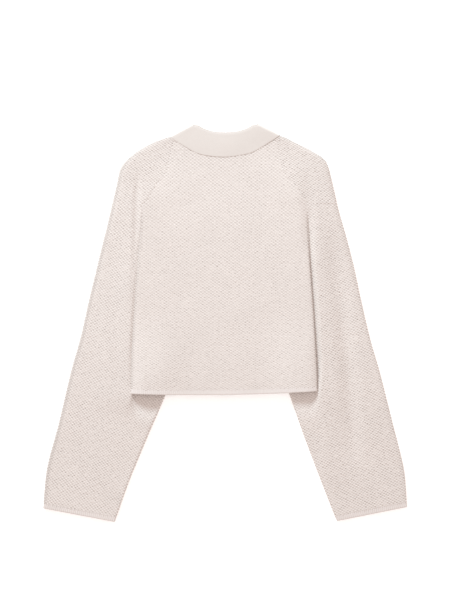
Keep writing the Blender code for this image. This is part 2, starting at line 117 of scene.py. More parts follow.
RIGHT_SLEEVE = np.array((
    (83, 359.5, 82.3, 352.5, 0),
    (105, 357, 98.1, 344.5, 0),
    (134, 343.5, 103.7, 321, 0),
    (165.5, 327.5, 112.7, 286.5, 0),
    (192, 307.5, 132.3, 264.5, 0),
    (204, 266.5, 146.3, 246.5, 0),
    (214, 223, 156.3, 228.5, 0),
    (219, 204, 157.5, 210.5, 1),
    (227, 177, 147, 186, 1),
    (236.2, 143, 125, 155, 1),
    (246.3, 101.5, 88, 107, 1),
    (258.8, 43.5, 73, 40, 1),
    (276, -30, 79.5, -43, 1),
    (293.5, -90, 116.5, -121, 1),
    (319.5, -193, 149, -212, 1),
    (339.5, -275, 183.2, -302, 1),
    (345.5, -340, 208.5, -366.5, 1),
    (346, -349.5, 212.8, -376.3, 1),
))
CUFF_ROW = len(LEFT_SLEEVE) - 2
# Outlines of what lies under the body: the sleeves and the front of the collar.
UNDER_LEFT = (
    (-159.5, 221), (-122.5, 170), (-82, 116), (-68.5, 44.5), (-72, -43), (-96, -125),
    (-116, -145.5), (-203.5, -145.5), (-188.5, 10), (-171, 177.5),
)
UNDER_RIGHT = (
    (155.5, 228), (118.5, 172), (80.5, 118), (67, 44.5), (71.5, -43), (103, -123),
    (124, -145.5), (199.5, -145.5), (184, 10), (167, 177.5),
)
UNDER_NECK = (
    (-107, 356), (-62, 380), (62, 380), (107, 360), (105, 328), (66, 247),
    (30, 221), (-30, 221), (-66, 247), (-105, 328),
)
# The collar's fold and its leaf's edge, from the middle of the back to the side, and on to the front's point.
# fold_x, fold_y, leaf_x, leaf_y, along
COLLAR_BACK = np.array((
    (0, 363, 0, 315.5, 0),
    (-22, 364.5, -24, 317, 0.36),
    (-40, 370, -49, 321.5, 0.68),
    (-51, 376, -69, 331, 0.88),
    (-61.5, 380.3, -105.5, 356, 1),
))
COLLAR_FRONT = np.array((
    (-61.5, 380.3, -105.5, 356, 0),
    (-55.5, 356, -103, 326, 0.2),
    (-43, 329, -90, 287.5, 0.45),
    (-24, 308.5, -63, 249.5, 0.72),
    (-1, 299, -28, 225, 1),
))
ON_PANEL = 0.82  # the panel's share of the front's neckline
RIGHT_NECK_SHIFT = np.array((1, 0.5, -1, 3))  # the collar's right half against the left

# --- the lie of the knit, which is softer than the solids ---
# A pair without a comment of its own says where a change starts, and over what length it comes.
SLEEVE_PUFF, SHOULDER_PUFF = 3.8, 2  # how far a sleeve's top stands above two flat walls
SHOULDER = (120, 120)
NECK_END = (385, 60)
LOW_PUFF, CUFF_Y, PUFF_REACH = 0.15, -390, 330  # the puff's share at the cuff, and the height it grows in
FULL_REACH = 90
SLEEVE_ROUND, INNER_ROUND, END_ROUND = 13, 8, 18  # width of the bends at the outer fold, inner fold and end
INNER_FADE = 60
BESIDE, BELOW_BODY = (7.2, 6.4), (3.4, 5)  # height of the left and right sleeve beside the body and below it
BESIDE_REACH, BELOW_REACH = 120, 80
CUFF_LEVEL = (0.2, 260)
UNDER_BODY = (0.45, -10, 35)  # its share inside the right edge, and where it grows
TROUGH_REACH, TROUGH_FADE = 28, 90  # half the width of the trough down a sleeve, and its fades
LEFT_TROUGH = ((-209, 175), (-200, 0), (-196, -203))
LEFT_TROUGH_DEPTH = 0.6
RIGHT_TROUGH = ((196, 190), (218.5, 44.5), (232.5, -88.5), (242, -200), (247, -290))
RIGHT_TROUGH_DEPTH = (1.1, 0.6, -40, 190)  # low, high, where it changes, over what length
TROUGH_OFF = ((-190, -44.5, 88.5, 200, 290), (38, 51, 55, 63, 68))  # -y, off the body's edge
TROUGH_MARGIN = 8
EDGE_LAP, EDGE_STEP = 4.5, 4  # where a sleeve rises, inside the body's edge, and over what width
EDGE_REACH_DOWN = 6
CREASE = (0.3, 5)  # depth and width, along the body's left edge
CREASE_FADES = (200, 60, -115, 70)
# The groove at the right edge: start inside it and width, at the underarm, at the side and at the hem
GROOVE = ((6, 22), (-1.6, 10.5), (2.2, 9.5))
GROOVE_REACHES = (80, 35, 110)  # distances from the underarm in which it narrows, begins and deepens
GROOVE_DEPTH = (0.5, 0.65)
HEM_FADE = (-150, 90)
HOLLOW = ((22, 12), (38, 62))  # the start left and right, and the length
RIGHT_VALLEY = ((150, 310), (157, 235), (159.5, 195), (162, 130))
RIGHT_VALLEY_REACH, RIGHT_DIP = 19, 2.4
RIGHT_VALLEY_FADES = (300, 90, 100, 80)
LEFT_VALLEY = ((-165, 300), (-168, 235), (-170, 150), (-173, 30), (-176, -60), (-176, -140))
LEFT_VALLEY_REACH = 10
LEFT_VALLEY_FADES = (300, 60, -150, 60)
LEFT_DIP = (1, 1.9, 20, 120)  # low, high, where it changes, over what length
SIDE_FOLDS = (238, 60)
RIGHT_BEND = (2, 12)  # how far the back's right edge bends down, over what width
BACK_SWELLS = (0.15, 45, 3)  # height, size and seed of the unevenness
SLEEVE_SWELLS = (0.2, 50, 5)
COLLAR_SWELLS = (0.25, 30, 8)
SWELL_EDGE = 15


# --- small sums ---
def smooth(x):
    x = np.clip(x, 0.0, 1.0)
    return x * x * (3 - 2 * x)


def ramp(value, start, length):
    return smooth((value - start) / length)


def between(y, top, top_fade, bottom, bottom_fade):
    """1 between two levels, with a fade inside each, and 0 beyond them."""
    return smooth((top - y) / top_fade) * smooth((y - bottom) / bottom_fade)


def mix(a, b, t):
    return a + (b - a) * t


def rounded(distance, reach):
    """A quarter of an ellipse: 0 at the edge and 1 from reach on."""
    return np.sqrt(1 - (1 - np.clip(distance / reach, 0, 1)) ** 2)


def spline(table, at):
    """Rows of the table at fractional indices, on a Catmull-Rom curve through its rows."""
    at = np.atleast_1d(np.asarray(at, float))
    last = len(table) - 1
    i = np.minimum(at.astype(int), last - 1)
    t = (at - i)[:, None]
    p1, p2 = table[i], table[i + 1]
    p0 = np.where(i[:, None] > 0, table[np.maximum(i - 1, 0)], 2 * p1 - p2)
    p3 = np.where(i[:, None] + 2 <= last, table[np.minimum(i + 2, last)], 2 * p2 - p1)
    m1, m2 = (p2 - p0) / 2, (p3 - p1) / 2
    return (
        (2 * t**3 - 3 * t**2 + 1) * p1
        + (t**3 - 2 * t**2 + t) * m1
        + (3 * t**2 - 2 * t**3) * p2
        + (t**3 - t**2) * m2
    )


def distance_to(x, y, line):
    best = np.full(np.broadcast(x, y).shape, np.inf)
    for (ax, ay), (bx, by) in zip(line, line[1:]):
        dx, dy = bx - ax, by - ay
        t = np.clip(((x - ax) * dx + (y - ay) * dy) / (dx * dx + dy * dy), 0, 1)
        best = np.minimum(best, np.hypot(x - ax - t * dx, y - ay - t * dy))
    return best


def distance_outside(x, y, polygon):
    """The distance from the polygon, 0 inside it."""
    loop = polygon + polygon[:1]
    inside = np.zeros(np.broadcast(x, y).shape, bool)
    for (ax, ay), (bx, by) in zip(loop, loop[1:]):
        level = by - ay if by != ay else 1e-9
        inside ^= ((ay > y) != (by > y)) & (x < ax + (y - ay) / level * (bx - ax))
    return np.where(inside, 0, distance_to(x, y, loop))


def swells(x, y, height, size, seed):
    """Soft random swells up to height, about as wide as size."""
    turn = np.random.default_rng(seed)
    total = 0
    for _ in range(7):
        angle, phase = turn.uniform(0, math.pi), turn.uniform(0, 2 * math.pi)
        length = size * turn.uniform(1.4, 3.0)
        total = total + np.sin(2 * math.pi * (x * math.cos(angle) + y * math.sin(angle)) / length + phase)
    return height * (total / 4)


# --- heights ---
def neck_lift(x, y):
    return COLLAR_STACK * (1 - smooth(distance_outside(x, y, UNDER_NECK) / FRONT_SLOPE))


def over_sleeves(x, y, slope):
    left, right = distance_outside(x, y, UNDER_LEFT), distance_outside(x, y, UNDER_RIGHT)
    return SLEEVE_STACK * (1 - smooth(np.minimum(left, right) / slope))


def hem_rise(x, y):
    t = (np.abs(x) - ARCH_START) / (ARCH_END - ARCH_START)
    arch = smooth(ARCH_SLOPES[0] * t) * smooth(ARCH_SLOPES[1] * (1 - t))
    rise = np.where(x < 0, LEFT_HEM_RISE, RIGHT_HEM_RISE)
    return rise * arch * smooth((HEM_RISE_TOP - y) / HEM_RISE_REACH)


def hem_v(u, row=HEM_ROW):
    """The line along the top of the back's hem, or its end, as a v of the upright lattice."""
    left_x, left_y, right_x, right_y, dip = BODY[row, :5]
    t = (u - left_x) / (right_x - left_x)
    return -(mix(left_y, right_y, t) - dip * (1 - (2 * t - 1) ** 2))


def outside_body(x, y):
    """How far a place lies outside the body's side edges, and below its lower end."""
    left = -np.interp(-y, -BODY[:, 1], BODY[:, 0])
    right = np.interp(-y, -BODY[:, 3], BODY[:, 2])
    return np.abs(x) - np.where(x < 0, left, right), -hem_v(x, HEM_ROW + 1) - y


def front_lift(x, y):
    return np.maximum(neck_lift(x, y), over_sleeves(x, y, FRONT_SLOPE)) + hem_rise(x, y)


def above_underarm(x, y):
    return y - np.where(x < 0, BODY[UNDERARM, 1], BODY[UNDERARM, 3])


def seam_level(x, y):
    """How far the knit is lifted along the raglan seams, on both sides of them."""
    return mix(SLEEVE_STACK, COLLAR_STACK, smooth(above_underarm(x, y) / RAGLAN_SLOPE))


def valley(x, y):
    """A soft dip in the knit at both underarms, and down along the body's left edge."""
    right = between(y, *RIGHT_VALLEY_FADES) * RIGHT_DIP
    right = right * smooth(1 - distance_to(x, y, RIGHT_VALLEY) / RIGHT_VALLEY_REACH)
    low, high, *change = LEFT_DIP
    left = between(y, *LEFT_VALLEY_FADES) * mix(low, high, ramp(y, *change))
    left = left * smooth(1 - distance_to(x, y, LEFT_VALLEY) / LEFT_VALLEY_REACH)
    return left + right


def back_lift(x, y):
    """The back hangs from one sleeve to the other with a slight sag, and comes down towards the neck."""
    width = -np.interp(-y, -BODY[:, 1], BODY[:, 0])
    middle = mix(SLEEVE_STACK - BACK_SAG, COLLAR_STACK, ramp(y, *NECK_SLOPE))
    level = mix(seam_level(x, y), middle, smooth((width - np.abs(x)) / SAG_REACH))
    return level + hem_rise(x, y) - valley(x, y)


def sleeve_lift(x, y):
    """Height of the underside of a sleeve."""
    ux = np.where(x < 0, UNDER_LEFT[0][0], UNDER_RIGHT[0][0])
    up = above_underarm(x, y)
    down = up / np.where(up > 0, FRONT_SLOPE, UNDERARM_DROP)
    at_underarm = SLEEVE_STACK * (1 - smooth(np.hypot((x - ux) / FRONT_SLOPE, down)))
    return np.maximum(neck_lift(x, y), at_underarm)


def trough(x, y, line, depth):
    (_, top), (_, bottom) = line[0], line[-1]
    fade = between(y, top, TROUGH_FADE, bottom, TROUGH_FADE)
    return depth * fade * (1 - smooth(distance_to(x, y, line) / TROUGH_REACH))


def left_edge(side, spread, y):
    """0 where the left sleeve lies flat under the body, and 1 where it is free. side is the distance outside
    the body's edge, and spread the distance below the hem."""
    depth, width = CREASE
    crease = depth * between(y, *CREASE_FADES) * (1 - smooth(side / width))
    return smooth((side + EDGE_LAP + 0.5 * spread) / (EDGE_STEP + 0.8 * spread)) * (1 - crease)


def right_edge(side, spread, y, down):
    """The same for the right sleeve, with a wide groove. down is the distance below the underarm."""
    narrows, comes, deepens = GROOVE_REACHES
    over_hem, narrow = ramp(y, *HEM_FADE), smooth(down / narrows)
    start, width = (mix(high, mix(low, middle, over_hem), narrow) for high, middle, low in zip(*GROOVE))
    groove = smooth((side + start + 0.3 * spread) / (width + 0.5 * spread))
    at_underarm, at_hem = GROOVE_DEPTH
    depth = smooth(down / comes) * mix(at_underarm, 1, smooth(down / deepens)) * mix(at_hem, 1, over_hem)
    return smooth((side + EDGE_LAP + 0.3 * spread) / (EDGE_STEP + 0.3 * spread)) * mix(1, groove, depth)


def sleeve_level(x, y, side, below, up):
    """Height of a sleeve's top next to the body."""
    beside = mix(SLEEVE_STACK, np.where(x < 0, *BESIDE), smooth(-up / BESIDE_REACH))
    at_cuff, rise = CUFF_LEVEL
    low = np.where(x < 0, *BELOW_BODY) * mix(at_cuff, 1, ramp(y, CUFF_Y, rise))
    under, *growth = UNDER_BODY
    low = low * np.where(x < 0, 1, mix(under, 1, ramp(side, *growth)))
    return np.where(up > 0, seam_level(x, y), mix(beside, low, smooth(below / BELOW_REACH)))


def sleeve_full(x, y):
    """The full height of a sleeve's top, with a soft trough down each sleeve."""
    low, high, *change = RIGHT_TROUGH_DEPTH
    right_trough = trough(x, y, RIGHT_TROUGH, mix(low, high, ramp(y, *change)))
    creases = trough(x, y, LEFT_TROUGH, LEFT_TROUGH_DEPTH) + right_trough
    puff = SLEEVE_PUFF * (1 - creases) * mix(LOW_PUFF, 1, ramp(y, CUFF_Y, PUFF_REACH))
    neck, neck_fade = NECK_END
    return (puff + SHOULDER_PUFF * ramp(y, *SHOULDER)) * smooth((neck - y) / neck_fade)


def sleeve_top(x, y, from_fold, from_inner, to_end):
    """How far the top of a sleeve rises above its flat height. It is level with the body at the raglan
    seam, flat under the body, and full elsewhere."""
    up = above_underarm(x, y)
    side, below = outside_body(x, y)
    spread = np.maximum(below, 0)
    open_side = np.where(x < 0, left_edge(side, spread, y), right_edge(side, spread, y, -up))
    open_side = mix(1, open_side, smooth(-up / EDGE_REACH_DOWN))
    hollow_start, hollow_length = (np.where(x < 0, *pair) for pair in HOLLOW)
    free = 1 - (1 - open_side) * (1 - smooth((below - hollow_start) / hollow_length))
    beside = np.maximum(side, 0)
    right_reach = np.interp(-y, *TROUGH_OFF) + TROUGH_MARGIN
    near = np.where(x < 0, np.hypot(beside, spread) / FULL_REACH, beside / right_reach)
    near = np.where(up > 0, from_inner / FULL_REACH, near)
    top = mix(sleeve_level(x, y, side, below, up), sleeve_full(x, y), smooth(near)) - valley(x, y)
    inner = smooth((HEM_RISE_TOP - INNER_FADE - y) / INNER_FADE)
    fold = rounded(from_fold, SLEEVE_ROUND) * mix(1, rounded(from_inner, INNER_ROUND), inner)
    return top * free * fold * rounded(to_end, END_ROUND)


# --- meshes ---
def mesh_piece(name, points, index, relief_and_painted_shade, finish, ring=False, torus=False):
    """A smooth mesh from a grid of points. index says which point each place of the grid uses, so that
    places which coincide share one. ring joins the last column to the first, and torus the last row too."""
    if ring or torus:
        index = np.column_stack([index, index[:, :1]])
    if torus:
        index = np.vstack([index, index[:1]])
    quads = np.stack([index[:-1, :-1], index[1:, :-1], index[1:, 1:], index[:-1, 1:]], axis=-1).reshape(-1, 4)
    same = quads == np.roll(quads, -1, axis=1)
    whole = quads[same.sum(axis=1) == 0]
    part, gap = quads[same.sum(axis=1) == 1], same[same.sum(axis=1) == 1]
    threes = part[~gap].reshape(-1, 3)
    used, inverse = np.unique(np.concatenate([whole.ravel(), threes.ravel()]), return_inverse=True)
    faces = inverse[: whole.size].reshape(-1, 4).tolist() + inverse[whole.size :].reshape(-1, 3).tolist()
    flat = (points.reshape(-1, 3)[used] - (*CENTRE, 0)) * MM
    mesh = bpy.data.meshes.new(name)
    mesh.from_pydata(flat.tolist(), [], faces)
    # the relief attribute, which also carries painted shade that the material puts into the hollows and along
    # edges
    relief_shade_data = mesh.attributes.new("relief_and_painted_shade", "FLOAT", "POINT").data
    relief_shade_data.foreach_set("value", relief_and_painted_shade.ravel()[used].astype("f"))
    mesh.shade_smooth()
    mesh.materials.append(finish)
    piece = bpy.data.objects.new(name, mesh)
    bpy.context.scene.collection.objects.link(piece)
    return piece


# --- the stitch lattice ---
class Lattice:
    """Stitches in rows that are turned by an angle: u runs along a row and v down across the rows."""

    def __init__(self, degrees, stitch, row_height):
        self.cos, self.sin = math.cos(math.radians(degrees)), math.sin(math.radians(degrees))
        self.stitch, self.row_height = stitch, row_height

    def turned(self, x, y):
        return x * self.cos - y * self.sin, -x * self.sin - y * self.cos

    def back(self, u, v):
        return u * self.cos - v * self.sin, -u * self.sin - v * self.cos

    def rows(self, start, end):
        """The v of the rows and of the lines between them, fitted to start and end."""
        at = [start]
        while at[-1] < end:
            at.append(at[-1] + self.row_height(at[-1]) / 2)
        at = np.array(at)
        return start + (at - start) * (end - start) / (at[-1] - start)

    def columns(self, low, high):
        half = self.stitch / 2
        return np.arange(math.floor(low / half) - 1, math.ceil(high / half) + 2) * half


def edge(lattice, table, columns, last):
    """The u of one edge of a panel as a function of v, and its curl."""
    rows = spline(table, np.linspace(0, last, 40 * last + 1))
    u, v = lattice.turned(rows[:, columns[0]], rows[:, columns[1]])
    order = np.maximum.accumulate(v) + np.arange(len(v)) * 1e-9
    return (lambda at: np.interp(at, order, u)), (lambda at: np.interp(at, order, np.clip(rows[:, -1], 0, 1)))


# --- the back and the sleeves ---
INSIDE, INSIDE_STEP = 2.4, 8  # depth of the plain inner face, which has fewer rows by this factor
BODY_BUMP, SLEEVE_BUMP = 0.52, 0.7  # how far a purl bead stands out, and how deep the stitch beside it lies
BEAD_SPREAD = 0.35
BODY_STITCH, SLEEVE_STITCH = 3.84, 3.5
BODY_ROW = (2.55, -0.00205, 3.0)  # height of a row at v = 0, its change with v, and the tallest row
SLEEVE_LIE = {"left": (12.5, 2.8), "right": (-10.5, 2.72)}  # angle of the rows in degrees, and their height
ROW_LEAN = 11.0  # how much less the rows turn near the shoulder
LEAN_FADE = (-190.0, 170.0)
ROLL = np.radians([90, 70, 50, 30, 12])  # places on a quarter turn, from the edge to the flat
TURN = np.radians([78, 60, 40, 20, 0, -25, -50, -75])  # places on a half turn, from the top to the bottom
TURN_FADE = (-0.6, 0.8)
SEAM_EDGE, SEAM_DIP = 0.7, 0.2  # how much of a panel's edge dips towards a seam, and how far
SEAM_WIDTH = 2.0
TUCK, EXTRA_TUCK = 3.0, 6.0  # how far a sleeve goes under the body, and how much further at the underarm
BACK_ENDS, BACK_SIDES = (-352.0, 124.0), (-180, 176)  # v of the back's first and last row, and its widest u
HEM_BEND, CUFF_BEND = 150.0, 220.0  # length over which the rows bend to the line of the hem or the cuff
COVERED, COVERED_DROP = (1.5, 2.0), 0.5  # where the knit gets flat under the collar, and its drop there
NARROWEST = 4.0
UNDER_COLUMNS = 9
# Painted shade, taken off the relief attribute so that the yarn is darker there:
LEFT_SIDE_SHADE, RIGHT_SIDE_SHADE, SIDE_REACH = 0.4, 0.25, 7.0  # along the body's edges
EDGE_SHADE, KEY_SIDE_SHADE, EDGE_REACH = 0.12, 1.5, 10.5  # painted shade at a sleeve's outer fold, and more where the fold faces the key light
# the way towards the key light, across the floor
TOWARDS_KEY_LIGHT = np.array([-0.3, 0.95])


def beads(lattice, along, count, height):
    """Moss stitch: beads on every second stitch of a row, moved over by one in the next row. along is the
    place across the fabric, and each row of the array is half a row of stitches."""
    half_rows = np.arange(count)[:, None]
    wave = np.cos(math.pi * along / lattice.stitch) * np.cos(math.pi * half_rows / 2)
    tall = 1 + BEAD_SPREAD * RANDOM.standard_normal(wave.shape)
    return height * wave * tall


def side_folds(y):
    """1 where the body's side edges are open folds, and 0 above the underarms."""
    start, length = SIDE_FOLDS
    return smooth((start - y) / length)


def back_top(x, y):
    """Height of the outer face of the back, which bends down towards its right edge."""
    side, _ = outside_body(x, y)
    drop, width = RIGHT_BEND
    bend = drop * (1 - rounded(-side, width)) * side_folds(y)
    return TUBE + back_lift(x, y) - np.where(x > 0, bend, 0) + swells(x, y, *BACK_SWELLS)


def shared(index, low, high, first, final):
    """Places that were clipped to the low or the high edge use the point of the first or final column."""
    index = np.where(low, index[:, first : first + 1], index)
    return np.where(high, index[:, final : final + 1], index)


def leaf_rim():
    """The lower edge of the collar's leaf: x in rising order, and y."""
    left = spline(COLLAR_BACK, np.linspace(0, len(COLLAR_BACK) - 1, 41))[:, 2:4]
    right = left * (-1, 1) + RIGHT_NECK_SHIFT[2:] * np.minimum(-left[:, :1] / 100, 1)
    rim = np.vstack([left[::-1], right])
    return np.hstack([-400, rim[:, 0], 400]), np.hstack([500, rim[:, 1], 500])


def back_shell(finish):
    """The back: the outer face of the knit from side to side, its edges rolled towards the front."""
    row, growth, tallest = BODY_ROW
    lattice = Lattice(0, BODY_STITCH, lambda v: min(row + growth * v, tallest))
    low, curl_of = edge(lattice, BODY, (0, 1), HEM_ROW)
    high, _ = edge(lattice, BODY, (2, 3), HEM_ROW)
    start, end = BACK_ENDS
    rows = lattice.rows(start, end)[:, None]
    near_hem = smooth((rows - end + HEM_BEND) / HEM_BEND)
    lo = low(rows + near_hem * (hem_v(low(rows)) - end))
    hi = high(rows + near_hem * (hem_v(high(rows)) - end))
    radius = mix(SEAM_EDGE, OUTER_FOLD, curl_of(rows))
    depth = mix(SEAM_DIP, OUTER_FOLD, curl_of(rows))
    lattice_u = lattice.columns(*BACK_SIDES)[None, :]
    inner = np.clip(lattice_u, lo + radius, hi - radius)
    roll = ROLL[None, :]
    u = np.hstack([lo + radius * (1 - np.sin(roll)), inner, (hi - radius * (1 - np.sin(roll)))[:, ::-1]])
    angle = np.hstack([0 * lo - roll, 0 * inner, (0 * lo + roll)[:, ::-1]])
    along = np.hstack([lo + radius * (1 - roll), inner, (hi - radius * (1 - roll))[:, ::-1]])
    v = rows + near_hem * (hem_v(u) - end)
    x, y = lattice.back(u, v)
    _, neck_y, half, seam_y, neck_dip = BODY[0, :5]
    t = (x + half) / (2 * half)
    neck = np.where(np.abs(x) < half, neck_y - neck_dip * (1 - (2 * t - 1) ** 2), seam_y)
    y = np.minimum(y, neck)
    gap, width = COVERED
    covered = smooth((y - np.interp(x, *leaf_rim()) - gap) / width)
    relief_and_painted_shade = beads(lattice, along, len(rows), BODY_BUMP) * (1 - covered)
    z = back_top(x, y) - COVERED_DROP * covered - depth * (1 - np.cos(angle))
    points = np.stack([x + relief_and_painted_shade * np.sin(angle) * curl_of(rows), y, z + relief_and_painted_shade * np.cos(angle)], axis=-1)
    # painted shade along the back's rolled side edges
    relief_and_painted_shade = relief_and_painted_shade - LEFT_SIDE_SHADE * (1 - smooth((u - lo) / SIDE_REACH)) * side_folds(y)
    relief_and_painted_shade = relief_and_painted_shade - RIGHT_SIDE_SHADE * (1 - smooth((hi - u) / SIDE_REACH)) * side_folds(y)
    first, final = len(ROLL), x.shape[1] - len(ROLL) - 1
    sides = np.zeros((2, *x.shape), bool)
    sides[0][:, first : final + 1] = lattice_u <= lo + radius
    sides[1][:, first : final + 1] = lattice_u >= hi - radius
    index = shared(np.arange(x.size).reshape(x.shape), *sides, first, final)
    area = float(np.sum((hi - lo)[:-1, 0] * np.diff(rows[:, 0])))
    return mesh_piece("back_knit", points, index, relief_and_painted_shade, finish), area


class Tube:
    """The turned lattice of a sleeve, the place of its two edges in it, and the end of its knit."""

    def __init__(self, table, degrees, row):
        self.left = table[0, 0] < 0
        table = table.copy()
        table[UNDERARM + 1 : UNDERARM + 3, 2] += EXTRA_TUCK if self.left else -EXTRA_TUCK
        self.lean = math.copysign(math.tan(math.radians(ROW_LEAN)), degrees)
        self.lattice = Lattice(degrees, SLEEVE_STITCH, lambda v: row)
        last = len(table) - 1
        outer, _ = edge(self.lattice, table, (0, 1), last)
        inner, self.curl = edge(self.lattice, table, (2, 3), last)
        self.low, self.high = (outer, inner) if self.left else (inner, outer)
        order = (0, 2) if self.left else (2, 0)
        self.corners = [self.lattice.turned(*table[CUFF_ROW, k : k + 2]) for k in order]
        self.tips = [self.lattice.turned(*table[CUFF_ROW + 1, k : k + 2]) for k in order]
        self.top = min(self.lattice.turned(*table[0, k : k + 2])[1] for k in (0, 2)) + 2
        self.end = (self.corners[0][1] + self.corners[1][1]) / 2

    def line(self, ends, u):
        return np.interp(u, [ends[0][0], ends[1][0]], [ends[0][1], ends[1][1]])

    def rows_at(self, rows, near_cuff, u, middle):
        """v along rows that lean less towards the shoulder and end along the cuff."""
        lean = self.lean * (1 - ramp(rows, *LEAN_FADE))
        return rows + near_cuff * (self.line(self.corners, u) - self.end) - lean * (u - middle)

    def ring(self, lo, hi, r_lo, r_hi, flat, under, v_of):
        """Points round the tube: over the top from low to high, round the edge, back underneath and round
        the other edge. Also their outward direction, across and up, and how far across they are."""
        zero, turn = 0 * lo, TURN[None, :]
        edge_in, edge_arc = 1 - np.cos(turn), TUBE / 2 * (math.pi / 2 - turn)
        at_high, at_low = hi - r_hi, lo + r_lo
        u = [flat, hi - r_hi * edge_in, mix(at_high, at_low, under), (lo + r_lo * edge_in)[:, ::-1]]
        up = [0 * flat + 1, zero + np.sin(turn), zero - 1 + 0 * under, (zero + np.sin(turn))[:, ::-1]]
        out = [0 * flat, zero + np.cos(turn), zero + 0 * under, (zero - np.cos(turn))[:, ::-1]]
        along = [flat, at_high + edge_arc, zero + 0 * under, (at_low - edge_arc)[:, ::-1]]
        u, up, out, along = (np.hstack(parts) for parts in (u, up, out, along))
        v = v_of(u)
        x, y = self.lattice.back(u, v)
        to_end = np.maximum(self.line(self.tips, u) - v, 0)
        from_low, from_high = np.maximum(u - lo, 0), np.maximum(hi - u, 0)
        from_fold, from_inner = (from_low, from_high) if self.left else (from_high, from_low)
        top = sleeve_top(x, y, from_fold, from_inner, to_end)
        top = top + swells(x, y, *SLEEVE_SWELLS) * smooth(np.minimum(from_low, from_high) / SWELL_EDGE)
        bottom = np.clip(sleeve_lift(x, y), 0, np.maximum(top, 0))
        z = bottom + (TUBE + top - bottom) * (1 + up) / 2
        inner_z = z - INSIDE * up
        return x, y, z, inner_z, out, up, along

    def moved(self, x, y, out, distance):
        dx, dy = self.lattice.back(distance * out, 0 * out)
        return x + dx, y + dy


def sleeve_shell(name, tube, finish):
    """A sleeve: its knitted top, the turns at its two edges, its plain underside and its inner face."""
    lattice, end = tube.lattice, tube.end
    rows = lattice.rows(tube.top, end)[:, None]
    rows = np.append(rows, [[end + 0.12]], axis=0)  # keeps the shading of the last row flat
    near_cuff = smooth((rows - end + CUFF_BEND) / CUFF_BEND)
    middle = (tube.low(rows) + tube.high(rows)) / 2

    def v_of(u):
        return tube.rows_at(rows, near_cuff, u, middle)

    lo, hi = tube.low(rows), tube.high(rows)
    for _ in range(16):  # the edges, where these rows meet them
        lo, hi = (lo + tube.low(v_of(lo))) / 2, (hi + tube.high(v_of(hi))) / 2
    curl = tube.curl(v_of(hi if tube.left else lo))
    tuck = TUCK * (1 - curl)  # at the raglan seam the sleeve goes a little way under the body
    lo, hi = (lo, hi + tuck) if tube.left else (lo - tuck, hi)
    lo, hi = np.minimum(lo, hi - NARROWEST), np.maximum(hi, lo + NARROWEST)
    fold, seam = np.full_like(curl, TUBE / 2), mix(SEAM_EDGE, TUBE / 2, curl)
    r_lo, r_hi = (fold, seam) if tube.left else (seam, fold)
    r_lo, r_hi = np.minimum(r_lo, (hi - lo) / 3), np.minimum(r_hi, (hi - lo) / 3)
    lattice_u = lattice.columns(float(lo.min()), float(hi.max()))[None, :]
    flat = np.clip(lattice_u, lo + r_lo, hi - r_hi)
    under = np.linspace(0, 1, UNDER_COLUMNS)[None, :]
    x, y, z, inner_z, out, up, along = tube.ring(lo, hi, r_lo, r_hi, flat, under, v_of)
    relief_and_painted_shade = beads(lattice, along, len(rows), SLEEVE_BUMP) * ramp(up, *TURN_FADE)
    outer_x, outer_y = tube.moved(x, y, out, relief_and_painted_shade)
    inner_x, inner_y = tube.moved(x, y, out, -INSIDE)
    to_seam = (hi - tuck - lattice.turned(x, y)[0]) if tube.left else (lattice.turned(x, y)[0] - lo - tuck)
    dip = 2 * SEAM_DIP * (1 - curl) * (1 - smooth(to_seam / SEAM_WIDTH + 0.5)) * (up > 0)
    outside = np.stack([outer_x, outer_y, np.maximum(z + relief_and_painted_shade * up - dip, 0)], axis=-1)
    inside = np.stack([inner_x, inner_y, inner_z], axis=-1)
    picked = np.unique(np.append(np.arange(0, len(rows), INSIDE_STEP), len(rows) - 1))[::-1]
    points = np.concatenate([outside, inside[picked]])
    edge_u = lo if tube.left else hi
    edge_x, edge_y = lattice.back(edge_u, v_of(edge_u))
    # the outer edge's outward direction, to find where it faces the key light
    normal = np.hstack([np.gradient(edge_y, axis=0), -np.gradient(edge_x, axis=0)]) * (1 if tube.left else -1)
    normal /= np.maximum(np.linalg.norm(normal, axis=1, keepdims=True), 1e-6)
    facing_key = smooth((normal @ TOWARDS_KEY_LIGHT)[:, None])
    u = lattice.turned(x, y)[0]
    from_outer = (u - lo) if tube.left else (hi - u)
    # painted shade along the outer fold, darkest where it faces the key light
    relief_and_painted_shade = relief_and_painted_shade - (EDGE_SHADE + KEY_SIDE_SHADE * facing_key) * (1 - smooth(from_outer / EDGE_REACH))
    relief_and_painted_shade = np.concatenate([relief_and_painted_shade, 0 * relief_and_painted_shade[picked]])
    order = np.append(np.arange(len(rows)), picked)
    count = flat.shape[1]
    pad = np.zeros((len(rows), x.shape[1] - count), bool)
    sides = [np.hstack([c, pad])[order] for c in (lattice_u <= lo + r_lo, lattice_u >= hi - r_hi)]
    index = shared(np.arange(points[..., 0].size).reshape(points.shape[:2]), *sides, 0, count - 1)
    area = 2 * float(np.sum((hi - lo)[:-1, 0] * np.diff(rows[:, 0])))
    return mesh_piece(name, points, index, relief_and_painted_shade, finish, torus=True), area


# --- the ribbing ---
HEM_RIB = 0.18  # how far the ribs stand out
CUFF_RIB = 0.34
CUFF_ROUND = 0.88
HEM_COLUMNS = 7
BAND_ROWS, BAND_COLUMNS = 90, 17
HALF_TURN = (30, 60, 90, 120, 150)  # places round the free edge of a strip, in degrees
STRIP_START = 0.015  # keeps the shading at a strip's join flat


def ribs(along, rise):
    return rise * np.cos(2 * math.pi * along / RIB)


